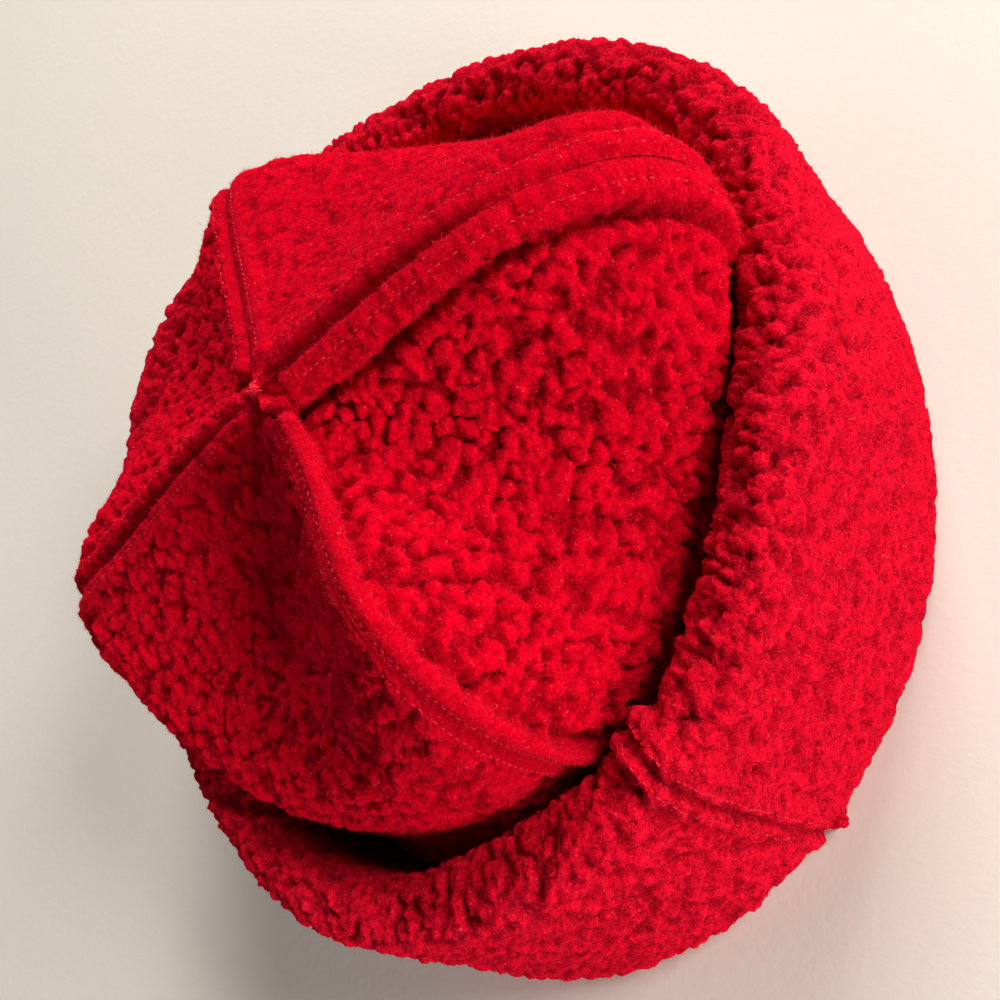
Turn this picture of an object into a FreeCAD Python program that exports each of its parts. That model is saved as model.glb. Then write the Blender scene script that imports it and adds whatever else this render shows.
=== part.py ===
"""Pile-fleece hat: a crown of four gores and a deep turned-up cuff, sewn with thread.

Millimetres, +Z up. The hat stands on its rim: the rim lies in the plane Z = 0 and the centre of
the hat's box is over the origin. Headings are degrees round the crown's axis, anticlockwise from
+X seen from above. The cuff's loop seam lies close to the crown's back seam.
"""
import FreeCAD, Part
import math
import os

Vector = FreeCAD.Vector

# ---------------------------------------------------------------- driving sizes
FLEECE = 5.0                 # one layer of fleece, pile included
CUFF_THICKNESS = 15.0        # the cuff's two layers and the air between them, at the rim
LIP_THICKNESS = 16.0         # the round fold at the top of the cuff
CUFF_HEIGHT = 72.0           # rim to the top of the lip
CUFF_RIM_RADIUS = 112.0      # outside of the cuff at the rim, before its lobes
LIP_RADIUS = 101.0           # outside of the lip, before its lobes
LAYER_GAP = 2.2              # between the crown's wall and the cuff
WALL_HEIGHTS = (1.5, 20.0)   # the crown's wall follows the cuff from its lower edge to here
SEAM_GAP = 0.7               # between the two gores of a seam, where its thread runs

THREAD_DIAMETER = 0.5
SEAM_STITCH = (3.2, 4.4)     # length and pitch of the hidden stitches
TOPSTITCH = (1.3, 1.8)       # length and pitch of the stitches that show
THREAD_LIFT = 0.25           # from the fleece to the underside of a surface stitch
TOPSTITCH_OFFSET = 3.8       # from a seam to each of its topstitch rows
TOPSTITCH_LOW = 40.0         # the crown's rows start this high, behind the cuff
TOPSTITCH_END = 11.5         # and end this far from the crown's axis
JOIN_HEIGHT = 6.0            # the ring of stitches at the rim
TACK_RADIUS = 2.4
CUFF_SEAM_HEADING = -47.0

# Lobes of a plan outline: (added radius, heading, width in degrees).
RIM_LOBES = [(17.0, -84.0, 38.0), (3.0, 180.0, 60.0), (-4.0, 5.0, 32.0)]
LIP_LOBES = [(11.0, -95.0, 31.0), (5.0, 44.0, 24.0), (-7.0, -10.0, 28.0), (-4.0, 112.0, 25.0),
             (5.0, 190.0, 38.0)]
LIP_DIP = [(-12.0, 106.0, 36.0), (-13.0, 205.0, 45.0)]

# Crown seams: heading, then the seam's line as (distance from the axis, height), up to the tip.
# Below its first point a line follows the inside of the cuff.
SEAMS = {
    "right": (24.0, [(86, 38), (81, 58), (87, 77), (88, 93), (79, 109), (56, 119), (28, 118),
                     (3, 114)]),
    "front": (123.0, [(87, 38), (81, 56), (83, 70), (81, 81), (73, 88.5), (52, 97), (27, 105),
                      (3, 114)]),
    "left": (202.0, [(94, 38), (89, 57), (95, 74), (93, 82), (82, 87.5), (58, 96), (28, 107),
                     (3, 114)]),
    "back": (304.0, [(91, 38), (84, 58), (83, 74), (78, 93), (68, 109), (50, 119), (25, 114.5),
                     (3, 114)]),
}

# The middle line of each gore, between the two seams named, sagging below them.
GORES = {
    "back_right": ("back", "right", [(82, 38), (75, 54), (72, 66), (67, 76), (58, 85), (42, 96),
                                     (22, 105), (3, 113)]),
    "front_right": ("right", "front", [(86, 38), (75, 57), (69, 73), (63, 85), (54, 93),
                                       (38, 101), (20, 108), (3, 113)]),
    "front_left": ("front", "left", [(88, 38), (80, 55), (75, 68), (69, 77), (59, 84), (42, 92),
                                     (22, 102), (3, 113)]),
    "back_left": ("left", "back", [(95, 38), (89, 56), (88, 68), (83, 76), (72, 79), (48, 85),
                                   (24, 99), (3, 112.5)]),
}
GORE_STATIONS = [0.0, 0.04, 0.1, 0.2, 0.3, 0.4, 0.5, 0.6, 0.7, 0.8, 0.9, 0.96, 1.0]
CUFF_STATIONS = 33
PATH_POINTS = 160
TRIM = 3.0                   # the cuff is lofted this far below the rim, then cut off flat


# ---------------------------------------------------------------- outlines
def with_lobes(size, lobes, heading):
    """A size at a heading: the plain size and the lobes that reach it."""
    total = size
    for added, centre, width in lobes:
        turn = (heading - centre + 180.0) % 360.0 - 180.0
        total += added * math.exp(-(turn / width) ** 2)
    return total


def rim_radius(heading):
    """Outside of the cuff at the rim."""
    return with_lobes(CUFF_RIM_RADIUS, RIM_LOBES, heading)


def lip_radius(heading):
    """Outside of the lip."""
    return with_lobes(LIP_RADIUS, LIP_LOBES, heading)


def lip_top(heading):
    """Height of the top of the lip."""
    return with_lobes(CUFF_HEIGHT, LIP_DIP, heading)


def cuff_inside(heading, height):
    """Distance from the crown's axis to the inside of the cuff, at a height below its top."""
    half = LIP_THICKNESS / 2.0
    roll = lip_top(heading) - half
    rim = rim_radius(heading) - CUFF_THICKNESS
    lip = lip_radius(heading) - LIP_THICKNESS
    if height < roll:
        return rim + (lip - rim) * height / roll
    return lip + half - math.sqrt(max(half ** 2 - (height - roll) ** 2, 0.0))


def inside_cuff(heading, point):
    """The point, moved inwards where the cuff would touch it."""
    r, z = point
    if z >= lip_top(heading):
        return point
    return min(r, cuff_inside(heading, z) - LAYER_GAP), z


def at_heading(heading, distance, height):
    """The point at a distance from the crown's axis and a height, on a heading."""
    angle = math.radians(heading)
    return Vector(distance * math.cos(angle), distance * math.sin(angle), height)


def gore_line(gore, share):
    """A gore's outer line, foot to tip, at a share of the way from its first seam to its second."""
    first, second, middle = GORES[gore]
    heading_1, line_1 = SEAMS[first]
    heading_2, line_2 = SEAMS[second]
    heading = heading_1 + share * ((heading_2 - heading_1) % 360.0)
    sag = math.sin(math.pi * share) ** 0.8
    line = []
    for (r1, z1), (r2, z2), (rm, zm) in zip(line_1, line_2, middle):
        r = r1 + share * (r2 - r1) + sag * (rm - 0.5 * (r1 + r2))
        z = z1 + share * (z2 - z1) + sag * (zm - 0.5 * (z1 + z2))
        line.append((r, z))
    wall = [(cuff_inside(heading, z) - LAYER_GAP, z) for z in WALL_HEIGHTS]
    return heading, wall + [inside_cuff(heading, point) for point in line]


def inside_of(line, depth):
    """The line moved inwards by a depth, square to itself, keeping its foot and tip levels."""
    moved = []
    last = len(line) - 1
    for k, (r, z) in enumerate(line):
        before = line[max(k - 1, 0)]
        after = line[min(k + 1, last)]
        along = (after[0] - before[0], after[1] - before[1])
        length = math.hypot(*along)
        moved.append((r - depth * along[1] / length, z + depth * along[0] / length))
    moved[0] = (line[0][0] - depth, line[0][1])
    moved[-1] = (line[-1][0], line[-1][1] - depth)
    return moved


def spline(points):
    """A smooth edge through the points."""
    curve = Part.BSplineCurve()
    curve.interpolate(points)
    return curve.toShape()


# ---------------------------------------------------------------- crown
def gore_section(gore, share):
    """The closed outline of a gore's fleece on one vertical plane."""
    heading, outer = gore_line(gore, share)
    inner = inside_of(outer, FLEECE)
    side = {0.0: 1.0, 1.0: -1.0}.get(share, 0.0)
    across = at_heading(heading + 90.0, side * SEAM_GAP / 2.0, 0.0)
    outer_points = [at_heading(heading, r, z) + across for r, z in outer]
    inner_points = [at_heading(heading, r, z) + across for r, z in inner]
    return Part.Wire([
        spline(outer_points),
        Part.LineSegment(outer_points[-1], inner_points[-1]).toShape(),
        spline(list(reversed(inner_points))),
        Part.LineSegment(inner_points[0], outer_points[0]).toShape(),
    ])


def make_gore(gore):
    """One crown panel, lofted from seam to seam."""
    sections = [gore_section(gore, share) for share in GORE_STATIONS]
    return Part.makeLoft(sections, True, False)


# ---------------------------------------------------------------- cuff
def cuff_outline(heading):
    """The cuff's outline, from the outside of the rim over the lip to the inside."""
    rim = rim_radius(heading)
    lip = lip_radius(heading)
    top = lip_top(heading)
    half = LIP_THICKNESS / 2.0
    centre = lip - half
    roll = top - half
    inner_rim = rim - CUFF_THICKNESS
    inner_lip = lip - LIP_THICKNESS
    return [
        (rim, -TRIM),
        (rim + 0.35 * (lip - rim) + 1.5, 0.35 * roll),
        (rim + 0.75 * (lip - rim) + 1.0, 0.75 * roll),
        (lip, roll),
        (centre + 0.7 * half, roll + 0.72 * half),
        (centre, top),
        (centre - 0.7 * half, roll + 0.72 * half),
        (inner_lip, roll),
        (inner_rim + 0.70 * (inner_lip - inner_rim) + 0.5, 0.70 * roll),
        (inner_rim + 0.35 * (inner_lip - inner_rim) + 0.5, 0.35 * roll),
        (inner_rim, -TRIM),
    ]


def cuff_section(heading, across):
    """The cuff's closed outline on one vertical plane, moved sideways by across."""
    aside = at_heading(heading + 90.0, across, 0.0)
    points = [at_heading(heading, r, z) + aside for r, z in cuff_outline(heading)]
    return Part.Wire([spline(points), Part.LineSegment(points[-1], points[0]).toShape()])


def make_cuff():
    """The folded strip, lofted once round from its loop seam back to it."""
    sections = []
    for k in range(CUFF_STATIONS):
        share = k / (CUFF_STATIONS - 1.0)
        across = {0: SEAM_GAP / 2.0, CUFF_STATIONS - 1: -SEAM_GAP / 2.0}.get(k, 0.0)
        sections.append(cuff_section(CUFF_SEAM_HEADING + 360.0 * share, across))
    ring = Part.makeLoft(sections, True, False)
    reach = 2.0 * CUFF_RIM_RADIUS
    below = Part.makeBox(2.0 * reach, 2.0 * reach, reach, Vector(-reach, -reach, -reach))
    return ring.cut(below).Solids[0]


# ---------------------------------------------------------------- thread
def stitches(path, length, pitch):
    """Short straight stitches along a path, one pitch apart, as one group of solids."""
    solids = []
    travelled = 0.0
    next_start = pitch / 2.0
    start = None
    for here, there in zip(path, path[1:]):
        run = there.sub(here)
        step = run.Length
        while True:
            target = next_start if start is None else next_start + length
            if target > travelled + step:
                break
            point = here + run * ((target - travelled) / step)
            if start is None:
                start = point
            else:
                along = point.sub(start)
                solids.append(Part.makeCylinder(THREAD_DIAMETER / 2.0, along.Length, start, along))
                start = None
                next_start += pitch
        travelled += step
    return Part.makeCompound(solids)


def lifted(path, lift):
    """A path in one vertical plane, moved outwards from the solid it runs round by a lift."""
    last = len(path) - 1
    across = path[-1].sub(path[0]).cross(path[len(path) // 2].sub(path[0])).normalize()
    moved = []
    for k, point in enumerate(path):
        along = path[min(k + 1, last)].sub(path[max(k - 1, 0)])
        moved.append(point - along.cross(across).normalize() * lift)
    return moved


def outside_path(solid, heading, offset):
    """The solid's outer line on the vertical plane beside a heading, from its foot upwards."""
    normal = at_heading(heading + 90.0, 1.0, 0.0)
    outline = max((edge for wire in solid.slice(normal, offset) for edge in wire.Edges),
                  key=lambda edge: edge.Length)
    path = outline.discretize(PATH_POINTS)
    out = at_heading(heading, 1.0, 0.0)
    if path[0].dot(out) < path[-1].dot(out):
        path.reverse()
    return path


def crown_topstitch(solid, seam, side):
    """One row of stitches on a gore, on the side +1 or -1 of one of its seams."""
    heading = SEAMS[seam][0]
    out = at_heading(heading, 1.0, 0.0)
    path = outside_path(solid, heading, side * TOPSTITCH_OFFSET)
    row = lifted(path, THREAD_DIAMETER / 2.0 + THREAD_LIFT)
    shown = [p for p in row if p.z > TOPSTITCH_LOW and p.dot(out) > TOPSTITCH_END]
    return stitches(shown, *TOPSTITCH)


def crown_seam_thread(seam):
    """The stitches that join two gores, in the middle of the fleece between them."""
    gore = next(name for name, (first, _, _) in GORES.items() if first == seam)
    heading, line = gore_line(gore, 0.0)
    middle = inside_of(line, FLEECE / 2.0)
    curve = spline([at_heading(heading, r, z) for r, z in middle])
    return stitches(curve.discretize(PATH_POINTS), *SEAM_STITCH)


def cuff_topstitch(cuff, side):
    """One row of stitches over the cuff's outside and lip, beside its loop seam."""
    path = outside_path(cuff, CUFF_SEAM_HEADING, side * TOPSTITCH_OFFSET)
    lift = THREAD_DIAMETER / 2.0 + THREAD_LIFT
    outer_share = path[:int(0.62 * len(path))]
    shown = [point for point in lifted(outer_share, lift) if point.z > 1.0]
    return stitches(shown, *TOPSTITCH)


def cuff_seam_thread():
    """The stitches that close the strip to a loop, in the middle of its fleece."""
    outline = [(r, z) for r, z in cuff_outline(CUFF_SEAM_HEADING) if z >= 0.0]
    middle = inside_of(outline, FLEECE / 2.0)[1:-1]
    curve = spline([at_heading(CUFF_SEAM_HEADING, r, z) for r, z in middle])
    return stitches(curve.discretize(PATH_POINTS), *SEAM_STITCH)


def cuff_join_thread():
    """The ring of stitches that joins the cuff's edges to the crown's rim."""
    ring = []
    for k in range(4 * PATH_POINTS + 1):
        heading = CUFF_SEAM_HEADING + 360.0 * k / (4.0 * PATH_POINTS)
        distance = cuff_inside(heading, JOIN_HEIGHT) - 0.35 * LAYER_GAP
        ring.append(at_heading(heading, distance, JOIN_HEIGHT))
    return stitches(ring, *SEAM_STITCH)


def crown_tack():
    """The small domed knot of thread where the four seams meet."""
    tip = min(line[-1][1] for _, _, line in GORES.values())
    stem = Part.makeCylinder(TACK_RADIUS, FLEECE, Vector(0, 0, tip - FLEECE))
    dome = Part.makeSphere(TACK_RADIUS, Vector(0, 0, tip))
    return stem.fuse(dome).removeSplitter()


# ---------------------------------------------------------------- the hat
def make_hat():
    """Every piece of the hat, by name, with the hat's box centred over the origin."""
    pieces = {"gore_" + gore: make_gore(gore) for gore in GORES}
    pieces["cuff"] = make_cuff()
    for gore, (first, second, _) in GORES.items():
        solid = pieces["gore_" + gore]
        pieces["topstitch_" + first + "_row_2"] = crown_topstitch(solid, first, 1.0)
        pieces["topstitch_" + second + "_row_1"] = crown_topstitch(solid, second, -1.0)
    for seam in SEAMS:
        pieces["seam_thread_" + seam] = crown_seam_thread(seam)
    for row, side in enumerate((-1.0, 1.0), start=1):
        pieces["cuff_topstitch_row_%d" % row] = cuff_topstitch(pieces["cuff"], side)
    pieces["cuff_seam_thread"] = cuff_seam_thread()
    pieces["cuff_join_thread"] = cuff_join_thread()
    pieces["crown_tack"] = crown_tack()
    footprint = pieces["cuff"].optimalBoundingBox(False, False).Center
    for shape in pieces.values():
        shape.translate(Vector(-footprint.x, -footprint.y, 0.0))
    return pieces


def main():
    """Write one STEP per piece."""
    os.makedirs("parts", exist_ok=True)
    for name, shape in make_hat().items():
        shape.exportStep("parts/" + name + ".step")
        print(name, len(shape.Solids), "solids", shape.isValid(), round(shape.Volume, 1), "mm3")


main()
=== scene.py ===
"""A red pile-fleece hat: a crown of four gores, a deep turned-up cuff and topstitched seams.

Shapes are worked out in millimetres round the crown's axis, with headings in degrees anticlockwise
from +X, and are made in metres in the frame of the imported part.
"""

import itertools
import logging
import math
from dataclasses import dataclass, field
from enum import Enum

import bpy
import numpy as np
from mathutils import Matrix, Vector


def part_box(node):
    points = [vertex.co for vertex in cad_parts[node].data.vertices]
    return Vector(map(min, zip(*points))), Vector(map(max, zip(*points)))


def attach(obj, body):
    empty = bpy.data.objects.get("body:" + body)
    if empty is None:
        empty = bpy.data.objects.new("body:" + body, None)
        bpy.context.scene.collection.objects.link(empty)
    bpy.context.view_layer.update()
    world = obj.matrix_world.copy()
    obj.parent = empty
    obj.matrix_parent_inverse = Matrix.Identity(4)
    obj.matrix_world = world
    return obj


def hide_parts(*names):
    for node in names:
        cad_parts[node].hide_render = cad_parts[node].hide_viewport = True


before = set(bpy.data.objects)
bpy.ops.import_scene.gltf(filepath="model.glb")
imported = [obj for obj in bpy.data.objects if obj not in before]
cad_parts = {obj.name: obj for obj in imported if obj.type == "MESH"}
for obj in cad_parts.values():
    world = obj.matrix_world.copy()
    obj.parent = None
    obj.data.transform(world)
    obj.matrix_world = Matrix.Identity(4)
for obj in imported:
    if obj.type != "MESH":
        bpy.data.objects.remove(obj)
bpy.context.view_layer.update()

LOG = logging.getLogger("hat")
MM = 0.001
Array = np.ndarray


# ---------------------------------------------------------------- arithmetic
def smoothstep(low: float, high: float, value: Array) -> Array:
    """Ease from 0 at low to 1 at high.

    Args:
        low: Where the result leaves 0.
        high: Where the result reaches 1.
        value: The values to ease.

    Returns:
        The eased values, the same shape as value.
    """
    t = np.clip((value - low) / (high - low), 0.0, 1.0)
    return t * t * (3.0 - 2.0 * t)


def bell(value: Array, width: float) -> Array:
    """A bump of height 1 at zero that falls away over width."""
    return np.exp(-((value / width) ** 2))


def unit(vectors: Array) -> Array:
    """The vectors scaled to length 1."""
    return vectors / np.maximum(np.linalg.norm(vectors, axis=-1, keepdims=True), 1e-9)


def around(headings: Array, distances: Array, heights: Array) -> Array:
    """Points at distances from the crown's axis and heights, on headings in degrees."""
    turn = np.radians(headings)
    return np.stack([distances * np.cos(turn), distances * np.sin(turn), heights], axis=-1)


def spline_through(points: Array, samples: int) -> Array:
    """A natural cubic spline through points, sampled evenly in its parameter.

    Args:
        points: Array of shape (knots, ...), one row per knot.
        samples: How many samples to return.

    Returns:
        Array of shape (samples, ...).
    """
    knots = len(points)
    matrix = np.eye(knots) * 4.0
    matrix[0, 0] = matrix[-1, -1] = 1.0
    for k in range(1, knots - 1):
        matrix[k, k - 1] = matrix[k, k + 1] = 1.0
    flat = points.reshape(knots, -1)
    right = np.zeros_like(flat)
    right[1:-1] = 6.0 * (flat[2:] - 2.0 * flat[1:-1] + flat[:-2])
    bend = np.linalg.solve(matrix, right)
    t = np.linspace(0.0, knots - 1.0, samples)
    k = np.minimum(t.astype(int), knots - 2)
    b = (t - k)[:, None]
    a = 1.0 - b
    line = a * flat[k] + b * flat[k + 1]
    line += ((a ** 3 - a) * bend[k] + (b ** 3 - b) * bend[k + 1]) / 6.0
    return line.reshape((samples,) + points.shape[1:])


def resampled(line: Array, shares: Array) -> Array:
    """Points along each column's line at shares of its length.

    Args:
        line: Array of shape (samples, columns, axes).
        shares: Shares of the length, from 0 to 1, shape (rows,).

    Returns:
        Array of shape (rows, columns, axes).
    """
    steps = np.linalg.norm(np.diff(line, axis=0), axis=-1)
    length = np.concatenate([np.zeros((1, line.shape[1])), np.cumsum(steps, axis=0)])
    length /= length[-1]
    made = np.empty((len(shares),) + line.shape[1:])
    for column in range(line.shape[1]):
        for axis in range(line.shape[2]):
            made[:, column, axis] = np.interp(shares, length[:, column], line[:, column, axis])
    return made


def run_lengths(points: Array, axis: int) -> Array:
    """Distance travelled along one axis of a grid of points, from its first row or column."""
    steps = np.linalg.norm(np.diff(points, axis=axis), axis=-1)
    start = np.zeros_like(np.take(steps, [0], axis=axis))
    return np.concatenate([start, np.cumsum(steps, axis=axis)], axis=axis)


def grid_normals(points: Array, wrapped: bool = False) -> Array:
    """Outward unit normals of a grid of points.

    Args:
        points: Array of shape (rows, columns, 3); headings grow with the columns, and rows run
            from the foot upwards.
        wrapped: Whether the last column is the first one again.

    Returns:
        Array of the same shape.
    """
    along_rows = np.gradient(points, axis=0)
    if wrapped:
        padded = np.concatenate([points[:, -2:-1], points, points[:, 1:2]], axis=1)
        along_columns = (padded[:, 2:] - padded[:, :-2]) / 2.0
    else:
        along_columns = np.gradient(points, axis=1)
    return unit(np.cross(along_columns, along_rows))


# ---------------------------------------------------------------- noise
@dataclass(frozen=True)
class Noise:
    """Seeded noise over points in millimetres."""

    seed: int

    def lots(self, cells: Array, seed: int) -> Array:
        """Three numbers from 0 to 1 drawn for each whole-number cell.

        Args:
            cells: Array of shape (..., 3).
            seed: Which draw.

        Returns:
            Array of shape (..., 3).
        """
        c = cells.astype(np.int64)
        start = (self.seed * 1000 + seed) * 2654435761 % (1 << 32)
        mixed = (c[..., 0] * 73856093) ^ (c[..., 1] * 19349663) ^ (c[..., 2] * 83492791) ^ start
        state = (mixed & 0xFFFFFFFF).astype(np.uint64)
        drawn = []
        for _ in range(4):
            state = state * np.uint64(6364136223846793005) + np.uint64(1442695040888963407)
            state ^= state >> np.uint64(29)
            drawn.append((state >> np.uint64(40)).astype(float) / float(1 << 24))
        return np.stack(drawn[1:], axis=-1)

    def smooth(self, points: Array, size: float, seed: int) -> Array:
        """Smooth noise from -1 to 1, three values for each point.

        Args:
            points: Array of shape (..., 3).
            size: Spacing of the noise.
            seed: Which draw.

        Returns:
            Array of shape (..., 3).
        """
        scaled = points / size
        base = np.floor(scaled)
        part = scaled - base
        part = part * part * (3.0 - 2.0 * part)
        total = np.zeros_like(points)
        for corner in itertools.product((0, 1), repeat=3):
            weight = np.prod(np.where(np.array(corner) == 1, part, 1.0 - part), axis=-1)
            total += weight[..., None] * self.lots(base + corner, seed)
        return total * 2.0 - 1.0

    def nubs(self, points: Array, size: float, seed: int, stretch: float = 0.45,
             normals: Array | None = None) -> Array:
        """Height of curled pile: plump beans lying every way, with narrow valleys between.

        Args:
            points: Shape (..., 3): points of the cloth with its normals given, or places on the
                laid-out cloth, the third always 0.
            size: Spacing of the beans.
            seed: Which pile.
            stretch: Longest half length of a bean's spine, in spacings.
            normals: The cloth's unit normals at the points.

        Returns:
            Heights from 0 between the beans to 1 on the top of the tallest bean.
        """
        moved = points + 0.30 * size * self.smooth(points, 1.3 * size, seed + 1)
        moved = moved + 0.10 * size * self.smooth(points, 0.4 * size, seed + 2)
        scaled = moved / size
        if normals is None:
            scaled[..., 2] = 0.0
            normals = np.array([0.0, 0.0, 1.0])
        layers = (0,) if normals.ndim == 1 else (-1, 0, 1)
        base = np.floor(scaled)
        top = np.zeros(points.shape[:-1])
        for step in itertools.product((-1, 0, 1), (-1, 0, 1), layers):
            cell = base + step
            spot = self.lots(cell, seed)
            centre = 0.1 + 0.8 * spot
            centre[..., 2] *= len(layers) > 1
            bean = self.bean(scaled - cell - centre, normals, self.lots(cell, seed + 3), stretch)
            top = np.maximum(top, (0.62 + 0.38 * spot[..., 0]) * bean)
        return top

    @staticmethod
    def bean(away: Array, normals: Array, form: Array, stretch: float) -> Array:
        """Height of one plump bean that lies on the cloth.

        Args:
            away: Offsets from the bean's centre, in spacings, shape (..., 3).
            normals: The cloth's unit normals.
            form: Three numbers from 0 to 1 that choose its heading, length and girth.
            stretch: Longest half length of its spine, in spacings.

        Returns:
            Heights from 0 to 1, fading where the centre lies off the cloth.
        """
        off = np.sum(away * normals, axis=-1)
        away = away - off[..., None] * normals
        turn = 2.0 * math.pi * form[..., 0]
        spine = np.stack([np.cos(turn), np.sin(turn), np.sin(3.0 * turn)], axis=-1)
        spine = unit(spine - np.sum(spine * normals, axis=-1, keepdims=True) * normals)
        along = np.sum(away * spine, axis=-1)
        missed = np.maximum(np.abs(along) - stretch * form[..., 1], 0.0)
        apart = missed ** 2 + np.sum(away * away, axis=-1) - along ** 2
        girth = 0.45 + 0.17 * form[..., 2]
        plump = np.clip(1.0 - apart / girth ** 2, 0.0, 1.0)
        return (1.0 - smoothstep(0.38, 0.58, np.abs(off))) * np.sqrt(plump)


PILE = Noise(7)


# ---------------------------------------------------------------- finishes
class Graph:
    """Small helper that lays out a material's nodes."""

    def __init__(self, name: str) -> None:
        """Start a material with one Principled shader."""
        self.material = bpy.data.materials.new(name)
        self.material.use_nodes = True
        self.nodes = self.material.node_tree.nodes
        self.links = self.material.node_tree.links
        self.shader = self.nodes["Principled BSDF"]

    def add(self, kind: str, **settings: object) -> bpy.types.Node:
        """Add a node of a kind, with its settings and sockets set by name.

        Args:
            kind: The node's class name.
            settings: Attributes, or sockets where no attribute has the name.

        Returns:
            The node.
        """
        node = self.nodes.new(kind)
        for name, value in settings.items():
            if hasattr(node, name):
                setattr(node, name, value)
            else:
                node.inputs[name.replace("_", " ")].default_value = value
        return node

    def join(self, source: bpy.types.NodeSocket, target: bpy.types.NodeSocket) -> None:
        """Link two sockets."""
        self.links.new(source, target)

    def coords(self) -> bpy.types.NodeSocket:
        """The Object coordinates."""
        return self.add("ShaderNodeTexCoord").outputs["Object"]

    def noise(self, scale: float, detail: float, rough: float = 0.6) -> bpy.types.NodeSocket:
        """Fractal noise on Object coordinates, scale in features per metre."""
        node = self.add("ShaderNodeTexNoise", Scale=scale, Detail=detail, Roughness=rough)
        self.join(self.coords(), node.inputs["Vector"])
        return node.outputs["Fac"]

    def ramp(self, source: bpy.types.NodeSocket, low: float, high: float,
             to_low: float = 0.0, to_high: float = 1.0) -> bpy.types.NodeSocket:
        """Map a value's range from low..high to to_low..to_high, clamped."""
        node = self.add("ShaderNodeMapRange")
        for name, value in (("From Min", low), ("From Max", high), ("To Min", to_low),
                            ("To Max", to_high)):
            node.inputs[name].default_value = value
        self.join(source, node.inputs["Value"])
        return node.outputs["Result"]

    def mix(self, share: bpy.types.NodeSocket, first: object,
            second: object) -> bpy.types.NodeSocket:
        """Mix two colours, each a colour or a socket, by a share."""
        node = self.add("ShaderNodeMix", data_type="RGBA")
        self.join(share, node.inputs["Factor"])
        for socket, value in ((node.inputs[6], first), (node.inputs[7], second)):
            if isinstance(value, bpy.types.NodeSocket):
                self.join(value, socket)
            else:
                socket.default_value = (*value, 1.0)
        return node.outputs[2]

    def bump(self, height: bpy.types.NodeSocket, depth: float, strength: float,
             under: bpy.types.NodeSocket | None = None) -> bpy.types.NodeSocket:
        """A bump of a depth in metres, over another normal if one is given."""
        node = self.add("ShaderNodeBump", Strength=strength, Distance=depth)
        self.join(height, node.inputs["Height"])
        if under is not None:
            self.join(under, node.inputs["Normal"])
        return node.outputs["Normal"]


@dataclass(frozen=True)
class FleeceFinish:
    """Dyed polyester pile, with painted shade in its valleys, pits and seam grooves and painted
    highlights and glints on its fibres.
    """

    name: str = "red_fleece"
    # Painted shade: the colour of the pile's valleys and pits.
    valley_shade: tuple[float, float, float] = (0.20, 0.0002, 0.0025)
    body: tuple[float, float, float] = (0.66, 0.0004, 0.012)
    # Painted highlight: the lighter colour that the fine fibre noise mixes in.
    painted_highlight: tuple[float, float, float] = (0.90, 0.006, 0.04)
    # Painted glints: small pinkish specks of highlight.
    painted_glint: tuple[float, float, float] = (1.0, 0.10, 0.14)
    # grain sets how far the pits are darkened as painted shade, and how deep their bump is.
    grain: float = 0.4
    sheen: float = 0.22
    sheen_tint: tuple[float, float, float] = (1.0, 0.02, 0.10)
    sheen_roughness: float = 0.45
    cloud_scale: float = 60.0
    pit_scale: float = 560.0
    painted_glint_scale: float = 1300.0
    fibre_scale: float = 1900.0

    def material(self) -> bpy.types.Material:
        """Make the material."""
        graph = Graph(self.name)
        height = graph.add("ShaderNodeAttribute", attribute_name="pile").outputs["Fac"]
        fibre = graph.noise(self.fibre_scale, 5.0, 0.72)
        cloud = graph.noise(self.cloud_scale, 3.0)
        # Painted shade: low pile in the valleys takes the shade colour, tall pile the body colour.
        colour = graph.mix(graph.ramp(height, 0.05, 0.75), self.valley_shade, self.body)
        # Painted shade darkens the pits, by up to grain; the same noise also bumps them.
        pits = graph.noise(self.pit_scale, 3.0, 0.65)
        colour = graph.mix(graph.ramp(pits, 0.50, 0.37, 0.0, self.grain), colour, self.valley_shade)
        # Painted highlights on the fibres.
        colour = graph.mix(graph.ramp(fibre, 0.50, 0.72), colour, self.painted_highlight)
        # Painted glints: pinkish specks of highlight mixed over the fleece.
        painted_glints = graph.noise(self.painted_glint_scale, 2.0)
        colour = graph.mix(graph.ramp(painted_glints, 0.66, 0.76, 0.0, 0.6), colour, self.painted_glint)
        shade = graph.ramp(cloud, 0.35, 0.7, 0.0, 0.22)
        colour = graph.mix(shade, colour, self.body)
        graph.join(colour, graph.shader.inputs["Base Color"])
        graph.join(graph.ramp(fibre, 0.3, 0.7, 1.0, 0.82), graph.shader.inputs["Roughness"])
        coarse = graph.bump(pits, 0.0008 + 0.0016 * self.grain, 0.4 + 0.6 * self.grain)
        fine = graph.bump(fibre, 0.0006, 0.8, coarse)
        graph.join(fine, graph.shader.inputs["Normal"])
        graph.shader.inputs["Sheen Weight"].default_value = self.sheen
        graph.shader.inputs["Sheen Roughness"].default_value = self.sheen_roughness
        graph.shader.inputs["Sheen Tint"].default_value = (*self.sheen_tint, 1.0)
        graph.shader.inputs["Specular IOR Level"].default_value = 0.0
        return graph.material


@dataclass(frozen=True)
class FibreFinish:
    """Loose fibres of the pile in one of a few shades."""

    name: str
    colour: tuple[float, float, float]

    def material(self) -> bpy.types.Material:
        """Make the material."""
        graph = Graph(self.name)
        graph.shader.inputs["Base Color"].default_value = (*self.colour, 1.0)
        graph.shader.inputs["Roughness"].default_value = 0.7
        graph.shader.inputs["Sheen Weight"].default_value = 0.2
        graph.shader.inputs["Sheen Tint"].default_value = (1.0, 0.10, 0.15, 1.0)
        graph.shader.inputs["Specular IOR Level"].default_value = 0.04
        return graph.material


GORE_FLEECE = FleeceFinish()
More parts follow.
